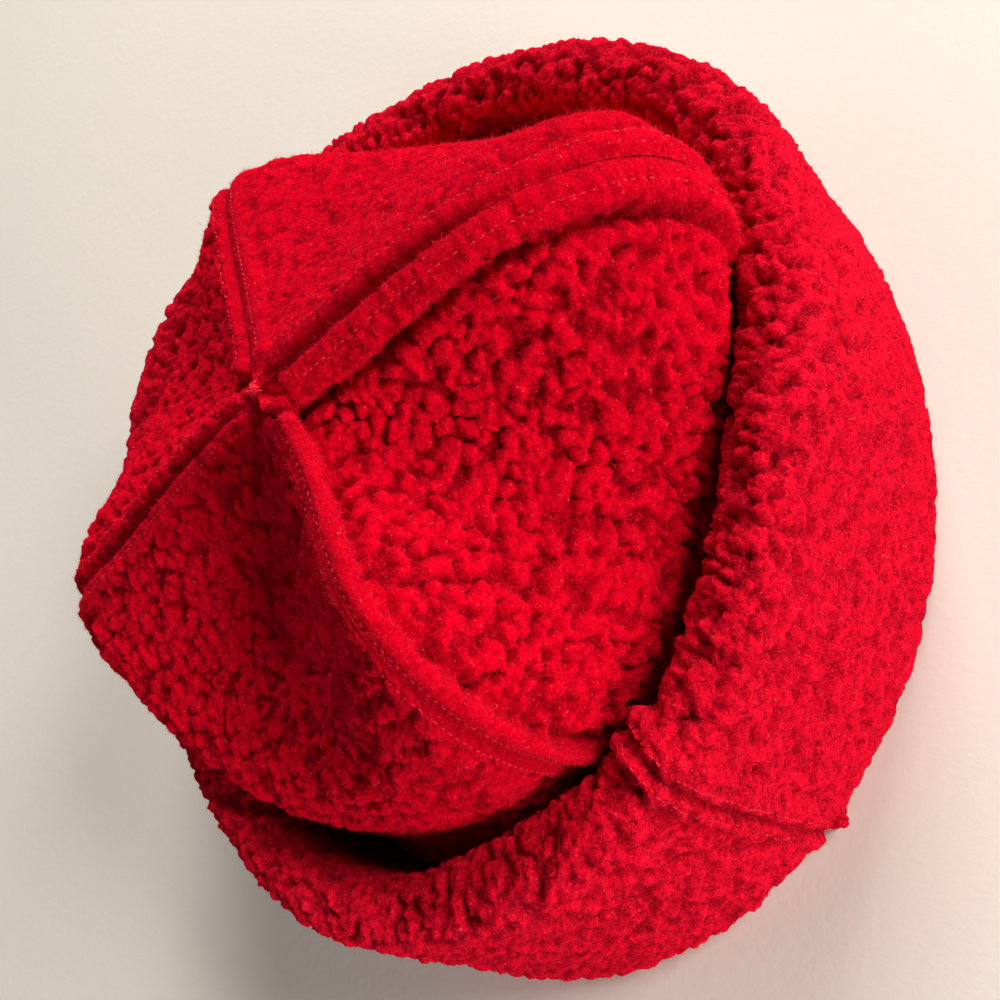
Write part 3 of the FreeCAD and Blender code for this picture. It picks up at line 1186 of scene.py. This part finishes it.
# ---------------------------------------------------------------- cuff
@dataclass
class Cuff:
    """The strip of fleece folded up round the crown."""

    form: CuffForm
    maker: MeshMaker
    fleece: float = 5.0
    near_cell: float = 0.84
    far_cell: float = 1.40
    near_heading: float = -8.0
    near_half: float = 125.0
    outer_cell: float = 0.98
    lip_cell: float = 0.78
    inner_cell: float = 1.8
    hidden_cell: float = 5.3
    outline_length: float = 156.0
    mean_radius: float = 107.0
    coarse_heading: float = -105.0
    curl: float = 3.6
    grain: float = 2.1
    groove_depth: float = 2.3
    right_strip: Strip = Strip(6.0, 1.6, soft=1.8, row=2.4, scallop=1.5, nubby=0.8)
    left_strip: Strip = Strip(4.4, 1.3, soft=0.9, row=3.2, scallop=1.4, nubby=0.9)
    tuft_radius: float = 1.7
    tuft_turn: float = 2.2
    tuft_height: float = 4.0

    def columns(self) -> Array:
        """Headings of the columns, once round from the loop seam back to it."""
        fine = np.linspace(0.0, 360.0, 3601)
        away = np.abs((fine + self.form.seam_heading - self.near_heading + 180.0) % 360.0 - 180.0)
        ease = smoothstep(self.near_half - 15.0, self.near_half + 15.0, away)
        cell = self.near_cell + (self.far_cell - self.near_cell) * ease
        density = np.concatenate([[0.0], np.cumsum(np.radians(0.1) * self.mean_radius / cell[1:])])
        count = int(density[-1])
        return self.form.seam_heading + np.interp(np.linspace(0.0, density[-1], count + 1),
                                                  density, fine)

    def rows(self) -> Array:
        """Shares of the outline's length at the rows, finest over the lip."""
        spans = ((0.0, 0.385, self.outer_cell), (0.385, 0.60, self.lip_cell),
                 (0.60, 0.72, self.inner_cell), (0.72, 1.0, self.hidden_cell))
        return np.concatenate([
            np.linspace(low, high, round((high - low) * self.outline_length / cell),
                        endpoint=high == 1.0) for low, high, cell in spans])

    def build(self, finish: bpy.types.Material) -> tuple[bpy.types.Object, Patch, Array]:
        """Make the cuff as one folded band of fleece, closed to a loop.

        Args:
            finish: The fleece's material.

        Returns:
            The piece, the patch of it that shows, and that patch's shares of the outline.
        """
        headings = self.columns()
        shares = self.rows()
        line = resampled(spline_through(self.form.outline(headings), 400), shares)
        base = around(headings, line[..., 0], line[..., 1])
        normals = grid_normals(base, wrapped=True)
        relief = self.relief(base, shares, headings)
        outer = base + normals * relief.out[..., None]
        outer[..., 2] = np.maximum(outer[..., 2], 0.25)
        lining = self.lining(line, shares)
        inner = around(headings, lining[..., 0], lining[..., 1])
        loop = np.concatenate([outer, inner])[:, :-1]
        rows, columns = loop.shape[:2]
        numbers = np.arange(rows * columns).reshape(rows, columns)
        numbers = np.concatenate([numbers, numbers[:1]])
        numbers = np.concatenate([numbers, numbers[:, :1]], axis=1)
        quads = grid_faces(numbers)
        heights = np.concatenate([relief.pile, np.full(inner.shape[:2], 0.4)])[:, :-1]
        piece = self.maker.make("cuff_fleece", loop.reshape(-1, 3), [quads], pile=heights)
        self.maker.dress(piece, [finish], "fleece", ("cuff",))
        LOG.info("%s: %d triangles, cloth %.1f cm2", piece.name, 2 * len(quads),
                 Gore.cloth_area(base) / 100.0)
        shown = shares < 0.70
        patch = Patch(outer[shown], grid_normals(outer, wrapped=True)[shown],
                      relief.pile[shown], relief.nap[shown])
        return piece, patch, shares[shown]

    def lining(self, line: Array, shares: Array) -> Array:
        """The fold's hidden side, one fleece inside the outline, from the inner rim back."""
        picks = np.unique(np.interp(np.linspace(1.0, 0.0, 13), shares,
                                    np.arange(len(shares))).astype(int))[::-1]
        along = np.gradient(line, axis=0)[picks]
        length = np.linalg.norm(along, axis=-1, keepdims=True)
        square = np.stack([-along[..., 1], along[..., 0]], axis=-1) / length
        hidden = line[picks] + square * self.fleece
        hidden[..., 1] = np.maximum(hidden[..., 1], 0.25)
        return hidden

    def curls(self, base: Array, shares: Array) -> tuple[Array, Array]:
        """Heights from 0 to 1 of the pile's large curls and of its finer grain."""
        around_run = run_lengths(base, 1)
        middle_row = around_run[np.searchsorted(shares, 0.3)]
        plane = np.stack([np.broadcast_to(middle_row, around_run.shape), run_lengths(base, 0),
                          np.zeros_like(around_run)], axis=-1)
        return (PILE.nubs(base, self.curl, 60, normals=grid_normals(base, wrapped=True)),
                PILE.nubs(plane, self.grain, 80, 0.3))

    def relief(self, base: Array, shares: Array, headings: Array) -> Relief:
        """Shape the cloth: its soft form, the strips beside its loop seam, and its curls, and paint
        shade into its seam groove.

        Args:
            base: Points of the cuff before its relief.
            shares: Shares of the outline's length at the rows.
            headings: Headings of the columns.

        Returns:
            The relief at the points.
        """
        around_run = run_lengths(base, 1)
        right_of = np.minimum(around_run, 300.0)
        left_of = np.minimum(around_run[:, -1:] - around_run, 300.0)
        share = shares[:, None]
        over_lip = smoothstep(0.33, 0.42, share) * (1.0 - smoothstep(0.60, 0.66, share))
        seam_shown = 1.0 - smoothstep(0.56, 0.62, share)
        nub, grain = self.curls(base, shares)
        turn = (headings[None, :] - self.coarse_heading + 180.0) % 360.0 - 180.0
        coarse = 0.7 + 0.3 * bell(turn, 60.0)
        ragged = 0.65 * PILE.smooth(base, 5.0, 90)[..., 0] + 0.6 * (grain - 0.5)
        kept = np.ones_like(around_run)
        out = PILE.smooth(base, 30.0, 95)[..., 0] * 1.5 * smoothstep(0.0, 0.05, share)
        for away, strip in ((right_of, self.right_strip), (left_of, self.left_strip)):
            there = strip.share(away - strip.scallop * ragged) * seam_shown
            out = out * (1.0 - there) + strip.rise * there
            kept *= 1.0 - (1.0 - strip.nubby) * there
        groove = seam_shown * (1.0 - smoothstep(
            0.2, 1.9, np.minimum(right_of, left_of) + 0.8 * ragged))
        hem = 0.35 + 0.65 * smoothstep(0.0, 0.04, share)
        shown = 1.0 - smoothstep(0.66, 0.74, share)
        out += over_lip * 2.1 * (nub - 0.5) * kept
        out += (1.0 - over_lip) * 2.7 * coarse * (nub - 0.5) * kept * hem
        out += 1.2 * (grain - 0.5) * hem - self.groove_depth * groove
        out = out * (0.15 + 0.85 * shown)
        pile = over_lip * nub + (1.0 - over_lip) * (
            coarse * nub + (1.0 - coarse) * (0.3 + 0.5 * grain))
        height = np.clip(0.72 * pile + 0.32 * grain, 0.0, 1.0)
        height = height * kept + (1.0 - kept) * (0.35 + 0.45 * grain)
        # The pile is lowered in the seam groove as painted shade.
        return Relief(out, height * (1.0 - 0.8 * groove), 1.0 + 1.2 * (1.0 - kept))

    def tuft(self, finish: bpy.types.Material) -> bpy.types.Object:
        """Make the small curl of pile that stands out of the rim beside the loop seam.

        Args:
            finish: The fleece's material.

        Returns:
            The piece.
        """
        heading = np.array(self.form.seam_heading + self.tuft_turn)
        distance = self.form.rim_radius(heading) + 0.6 * self.tuft_radius
        centre = around(heading, distance, np.array(self.tuft_height))
        bpy.ops.object.select_all(action="DESELECT")
        bpy.ops.mesh.primitive_ico_sphere_add(subdivisions=4, radius=self.tuft_radius,
                                              location=(0.0, 0.0, 0.0))
        ball = bpy.context.object
        points = np.array([vertex.co[:] for vertex in ball.data.vertices])
        faces = np.array([face.vertices[:] for face in ball.data.polygons])
        sphere = ball.data
        bpy.data.objects.remove(ball)
        bpy.data.meshes.remove(sphere)
        ways = unit(points)
        nub = PILE.nubs(points + 9.0, 1.6, 70, normals=ways)
        grown = points * np.array([1.5, 1.0, 0.9]) + 0.8 * (nub - 0.6)[:, None] * ways
        piece = self.maker.make("cuff_rim_tuft", grown + centre, [faces], pile=nub)
        self.maker.dress(piece, [finish], "fleece")
        LOG.info("%s: %d triangles", piece.name, len(faces))
        return piece

    def stitch_path(self, patch: Patch, shares: Array, side: int) -> tuple[Array, Array]:
        """Where a topstitch row runs over the cuff beside its loop seam.

        Args:
            patch: The finished surface that shows.
            shares: The shares of the outline's length at its rows.
            side: -1 for the left of the seam, 1 for the right.

        Returns:
            Points and normals along the row.
        """
        strip = self.right_strip if side > 0 else self.left_strip
        column = side * int(round(strip.row / self.near_cell))
        rows = np.flatnonzero((patch.points[:, column, 2] > 2.0) & (shares < 0.56))
        return patch.points[rows, column], patch.normals[rows, column]


# ---------------------------------------------------------------- stitches
@dataclass
class Stitches:
    """Rows of surface stitches, each stitch a short soft-ended length of thread."""

    maker: MeshMaker
    diameter: float = 0.42
    length: float = 1.3
    pitch: float = 1.8
    lift: float = 0.16
    knot_turns: int = 16
    knot_growth: tuple[float, float, float] = (1.9, 1.3, 1.3)

    def one_stitch(self) -> tuple[Array, Array]:
        """Model one stitch with its ends drawn in, along X.

        Returns:
            Its vertices in millimetres and its faces, all four-cornered or fewer.
        """
        bpy.ops.object.select_all(action="DESELECT")
        bpy.ops.mesh.primitive_cylinder_add(vertices=6, radius=self.diameter / 2.0,
                                            depth=self.length, end_fill_type="TRIFAN",
                                            location=(0.0, 0.0, 0.0))
        bpy.ops.object.mode_set(mode="EDIT")
        bpy.ops.mesh.select_all(action="SELECT")
        bpy.ops.mesh.bisect(plane_co=(0, 0, 0.3 * self.length), plane_no=(0, 0, 1))
        bpy.ops.mesh.select_all(action="SELECT")
        bpy.ops.mesh.bisect(plane_co=(0, 0, -0.3 * self.length), plane_no=(0, 0, 1))
        bpy.ops.mesh.select_all(action="SELECT")
        bpy.ops.mesh.quads_convert_to_tris()
        bpy.ops.object.mode_set(mode="OBJECT")
        pattern = bpy.context.object
        mesh = pattern.data
        points = np.array([v.co[:] for v in mesh.vertices])
        faces = np.array([p.vertices[:] for p in mesh.polygons])
        bpy.data.objects.remove(pattern)
        bpy.data.meshes.remove(mesh)
        end = np.abs(points[:, 2]) / (0.5 * self.length)
        slim = np.where(end > 0.9, 0.45, 1.0)
        sunk = -1.5 * self.diameter * np.clip((end - 0.2) / 0.8, 0.0, 1.0) ** 2
        return np.stack([points[:, 2], points[:, 0] * slim, points[:, 1] * slim + sunk],
                        axis=-1), faces

    @staticmethod
    def turned(pattern: Array, middle: Array, along: Array, side: Array, up: Array) -> Array:
        """The pattern's vertices placed at a middle and turned to three directions."""
        return middle + pattern[:, :1] * along + pattern[:, 1:2] * side + pattern[:, 2:] * up

    def sew(self, name: str, path: Array, normals: Array, nodes: tuple[str, ...],
            finish: bpy.types.Material) -> bpy.types.Object:
        """Lay stitches along a path on the cloth.

        Args:
            name: The piece's name.
            path: Points along the row, shape (n, 3).
            normals: The cloth's normals at those points.
            nodes: The CAD nodes that the row stands for.
            finish: The thread's material.

        Returns:
            The piece.
        """
        pattern, faces = self.one_stitch()
        run = run_lengths(path, 0)
        starts = np.arange(self.pitch / 2.0, run[-1] - self.pitch / 2.0, self.pitch)
        points, numbers = [], []
        for k, centre in enumerate(starts):
            spots = [np.array([np.interp(centre + step, run, path[:, axis]) for axis in range(3)])
                     for step in (-self.length / 2.0, 0.0, self.length / 2.0)]
            normal = unit(np.array([np.interp(centre, run, normals[:, axis])
                                    for axis in range(3)]))
            along = unit(spots[2] - spots[0])
            side = unit(np.cross(normal, along))
            up = np.cross(along, side)
            middle = (spots[0] + spots[2] + 2.0 * spots[1]) / 4.0 + up * self.lift
            points.append(self.turned(pattern, middle, along, side, up))
            numbers.append(faces + k * len(pattern))
        piece = self.maker.make(name, np.concatenate(points), [np.concatenate(numbers)])
        self.maker.dress(piece, [finish], "thread", nodes)
        LOG.info("%s: %d stitches", name, len(starts))
        return piece

    def knot(self, name: str, node: str, finish: bpy.types.Material) -> bpy.types.Object:
        """Tie the bar of crossing stitches that closes the crown's apex.

        Args:
            name: The piece's name.
            node: The CAD node that it stands for.
            finish: The thread's material.

        Returns:
            The piece.
        """
        low, high = (np.array(corner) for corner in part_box(node))
        top = (high[2] - self.maker.axis[2]) / MM
        pattern, faces = self.one_stitch()
        draw = np.random.default_rng(17)
        points, numbers = [], []
        for k in range(self.knot_turns):
            turn = math.pi * draw.random()
            tilt = draw.uniform(-0.35, 0.35)
            along = unit(np.array([math.cos(turn), math.sin(turn), tilt]))
            side = unit(np.cross((0.0, 0.0, 1.0), along))
            up = np.cross(along, side)
            middle = np.array([*draw.uniform(-0.7, 0.7, 2), top - 0.55 + 0.04 * k])
            points.append(self.turned(pattern * np.array(self.knot_growth), middle, along, side,
                                      up))
            numbers.append(faces + k * len(pattern))
        piece = self.maker.make(name, np.concatenate(points), [np.concatenate(numbers)])
        self.maker.dress(piece, [finish], "thread", (node,))
        LOG.info("%s: %d turns of thread", name, self.knot_turns)
        return piece


# ---------------------------------------------------------------- studio
@dataclass(frozen=True)
class Lamp:
    """A soft square lamp aimed at the hat."""

    name: str
    place: tuple[float, float, float]
    size: float
    power: float
    colour: tuple[float, float, float] = (1.0, 1.0, 1.0)

    def hang(self, target: Vector) -> None:
        """Add the lamp, turned to the target."""
        data = bpy.data.lights.new(self.name, "AREA")
        data.size = self.size
        data.energy = self.power
        data.color = self.colour
        lamp = bpy.data.objects.new(self.name, data)
        lamp.location = self.place
        lamp.rotation_euler = (target - lamp.location).to_track_quat("-Z", "Y").to_euler()
        bpy.context.scene.collection.objects.link(lamp)


@dataclass
class Studio:
    """A pale floor, soft lamps and the camera."""

    target: Vector = field(default_factory=lambda: Vector((0.0, 0.0, 0.06)))
    floor_size: float = 6.0
    axis: Vector = field(default_factory=lambda: Vector((0.0, 0.0, 0.0)))
    eye: tuple[float, float, float] = (0.1286, -0.0513, 0.2426)
    right: tuple[float, float, float] = (0.8692, 0.0273, -0.4938)
    up: tuple[float, float, float] = (0.0633, 0.9841, 0.1659)
    focal_length: float = 34.2
    lamps: tuple[Lamp, ...] = (
        Lamp("key_lamp", (0.10, 1.30, 0.80), 0.55, 22.0, (1.0, 0.96, 0.90)),
        Lamp("right_lamp", (1.12, 0.65, 0.78), 0.50, 18.0, (1.0, 0.95, 0.88)),
        Lamp("low_lamp", (1.22, -0.85, 0.25), 0.50, 19.0, (1.0, 0.93, 0.88)),
        Lamp("left_lamp", (-1.06, 0.0, 1.09), 0.60, 2.0, (1.0, 0.95, 0.92)),
        Lamp("front_lamp", (-0.21, -1.21, 0.90), 0.60, 2.6, (1.0, 0.93, 0.90)),
    )

    def build(self) -> None:
        """Make the floor, the lamps, the sky and the camera."""
        bpy.ops.object.select_all(action="DESELECT")
        bpy.ops.mesh.primitive_plane_add(size=self.floor_size, location=(0.0, 0.0, 0.0))
        floor = bpy.context.object
        floor.name = "floor"
        floor.data.materials.append(WallFinish().material())
        for lamp in self.lamps:
            lamp.hang(self.target)
        world = bpy.data.worlds.new("sky")
        world.use_nodes = True
        world.node_tree.nodes["Background"].inputs[0].default_value = (0.9, 0.93, 1.0, 1.0)
        world.node_tree.nodes["Background"].inputs[1].default_value = 0.05
        bpy.context.scene.world = world
        bpy.context.scene.view_settings.view_transform = "Standard"
        self.place_camera()

    def place_camera(self) -> None:
        """Put the camera at its eye point, turned to its own right and up."""
        data = bpy.data.cameras.new("camera")
        data.lens = self.focal_length
        data.sensor_width = 36.0
        data.clip_start = 0.01
        right, up = Vector(self.right).normalized(), Vector(self.up).normalized()
        back = right.cross(up).normalized()
        up = back.cross(right)
        camera = bpy.data.objects.new("camera", data)
        turn = Matrix((right, up, back)).transposed().to_4x4()
        camera.matrix_world = Matrix.Translation(self.axis + Vector(self.eye)) @ turn
        bpy.context.scene.collection.objects.link(camera)
        bpy.context.scene.camera = camera


# ---------------------------------------------------------------- the hat
GORES = (
    GoreForm("back_right", SEAM_BACK, SEAM_RIGHT, (
        (82, 38), (75, 54), (72, 66), (67, 76), (58, 85), (42, 96), (22, 105), (3, 113)),
        flat=(0.150, 0.175), flat_area=0.0185, cell=0.47,
        long_strip=Strip(10.0, 2.7, soft=0.6, row=3.9, scallop=1.3, nubby=0.35, taper=2.6,
                         crease=0.9),
        short_strip=Strip(5.0, 2.7, soft=0.8, row=1.2, scallop=0.4, nubby=0.06, crease=0.5),
        curl=3.3, curl_depth=2.5),
    GoreForm("front_right", SEAM_RIGHT, SEAM_FRONT, (
        (86, 38), (75, 57), (69, 73), (63, 85), (54, 93), (38, 101), (20, 108), (3, 113)),
        flat=(0.175, 0.175), flat_area=0.0215, cell=0.54,
        long_strip=Strip(5.0, 2.0, soft=1.3, row=3.8, scallop=0.8, nubby=0.6),
        short_strip=Strip(6.0, 0.9, soft=2.0, row=2.6, scallop=0.5, nubby=0.3),
        curl=3.2, curl_depth=0.7,
        bulges=(Bulge(3.8, 32.0, 100.0, 9.5, 13.0), Bulge(2.2, 117.0, 78.0))),
    GoreForm("front_left", SEAM_FRONT, SEAM_LEFT, (
        (88, 38), (80, 55), (75, 68), (69, 77), (59, 84), (42, 92), (22, 102), (3, 113)),
        flat=(0.150, 0.170), flat_area=0.0185, cell=0.52,
        long_strip=Strip(4.4, 1.9, soft=1.0, row=3.4, scallop=0.9, nubby=0.7),
        short_strip=Strip(4.8, 1.6, soft=0.9, row=3.2, scallop=0.8, nubby=0.5),
        curl=3.7, curl_depth=2.2, bulges=(Bulge(3.6, 196.0, 73.0), Bulge(2.2, 129.0, 78.0))),
    GoreForm("back_left", SEAM_LEFT, SEAM_BACK, (
        (95, 38), (89, 56), (88, 68), (83, 76), (72, 79), (48, 85), (24, 99), (3, 112.5)),
        flat=(0.180, 0.175), flat_area=0.0235, cell=0.54,
        long_strip=Strip(5.0, 1.1, soft=1.6, row=3.3, scallop=0.8, nubby=0.5),
        short_strip=Strip(3.4, 0.5, soft=1.0, row=2.8, scallop=0.6, nubby=0.3),
        curl=3.8, curl_depth=1.7, bulges=(Bulge(3.6, 208.0, 73.0),)),
)
FUZZ_FACES = {"back_right": 180000, "front_right": 150000, "front_left": 100000,
              "back_left": 150000}
CUFF_FUZZ_FACES = 180000


@dataclass
class Hat:
    """The whole hat: gores, cuff, thread and fuzz."""

    maker: MeshMaker = field(default_factory=MeshMaker)
    cuff_form: CuffForm = field(default_factory=CuffForm)

    def build(self) -> None:
        """Make every piece of the hat."""
        fleece = GORE_FLEECE.material()
        cuff_fleece = CUFF_FLEECE.material()
        thread = ThreadFinish().material()
        stitches = Stitches(self.maker)
        for number, form in enumerate(GORES):
            self.build_gore(form, number, stitches, fleece, thread)
        self.build_cuff(stitches, cuff_fleece, thread)
        stitches.knot("crown_tack_knot", "crown_tack", thread)
        for name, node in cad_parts.items():
            if "thread" in name:
                for slot in node.material_slots:
                    slot.material = thread

    def build_gore(self, form: GoreForm, number: int, stitches: Stitches,
                   fleece: bpy.types.Material, thread: bpy.types.Material) -> None:
        """Make one crown panel with its fuzz and its two rows of stitches.

        Args:
            form: The panel's form.
            number: Its place round the crown, which seeds its fuzz.
            stitches: The maker of stitches.
            fleece: The cloth's finish.
            thread: The thread's finish.
        """
        gore = Gore(form, self.cuff_form, self.maker)
        piece, patch, base = gore.build(fleece)
        on_it = [Fuzz(self.maker, 100 + number).grow(
            "gore_" + form.name + "_fuzz", patch, FUZZ_FACES[form.name], 0.95)]
        for seam, row in ((form.first, 2), (form.second, 1)):
            node = "topstitch_%s_row_%d" % (seam.name, row)
            path, normals = gore.stitch_path(base, patch, seam.rank)
            on_it.append(stitches.sew(node + "_thread", path, normals, (node,), thread))

    def build_cuff(self, stitches: Stitches, fleece: bpy.types.Material,
                   thread: bpy.types.Material) -> None:
        """Make the cuff with its fuzz, its rim tuft and its two rows of stitches.

        Args:
            stitches: The maker of stitches.
            fleece: The cloth's finish.
            thread: The thread's finish.
        """
        cuff = Cuff(self.cuff_form, self.maker)
        piece, patch, shares = cuff.build(fleece)
        on_it = [Fuzz(self.maker, 200 + k).grow("cuff_fuzz_%d" % (k + 1), patch, CUFF_FUZZ_FACES,
                                                0.85) for k in range(2)]
        on_it.append(cuff.tuft(fleece))
        for side, row in ((-1, 1), (1, 2)):
            node = "cuff_topstitch_row_%d" % row
            path, normals = cuff.stitch_path(patch, shares, side)
            on_it.append(stitches.sew(node + "_thread", path, normals, (node,), thread))


def main() -> None:
    """Build the hat and its studio."""
    logging.basicConfig(level=logging.INFO, format="%(message)s")
    hat = Hat()
    hat.build()
    Studio(axis=Vector(hat.maker.axis)).build()


if __name__ == "__main__":
    main()
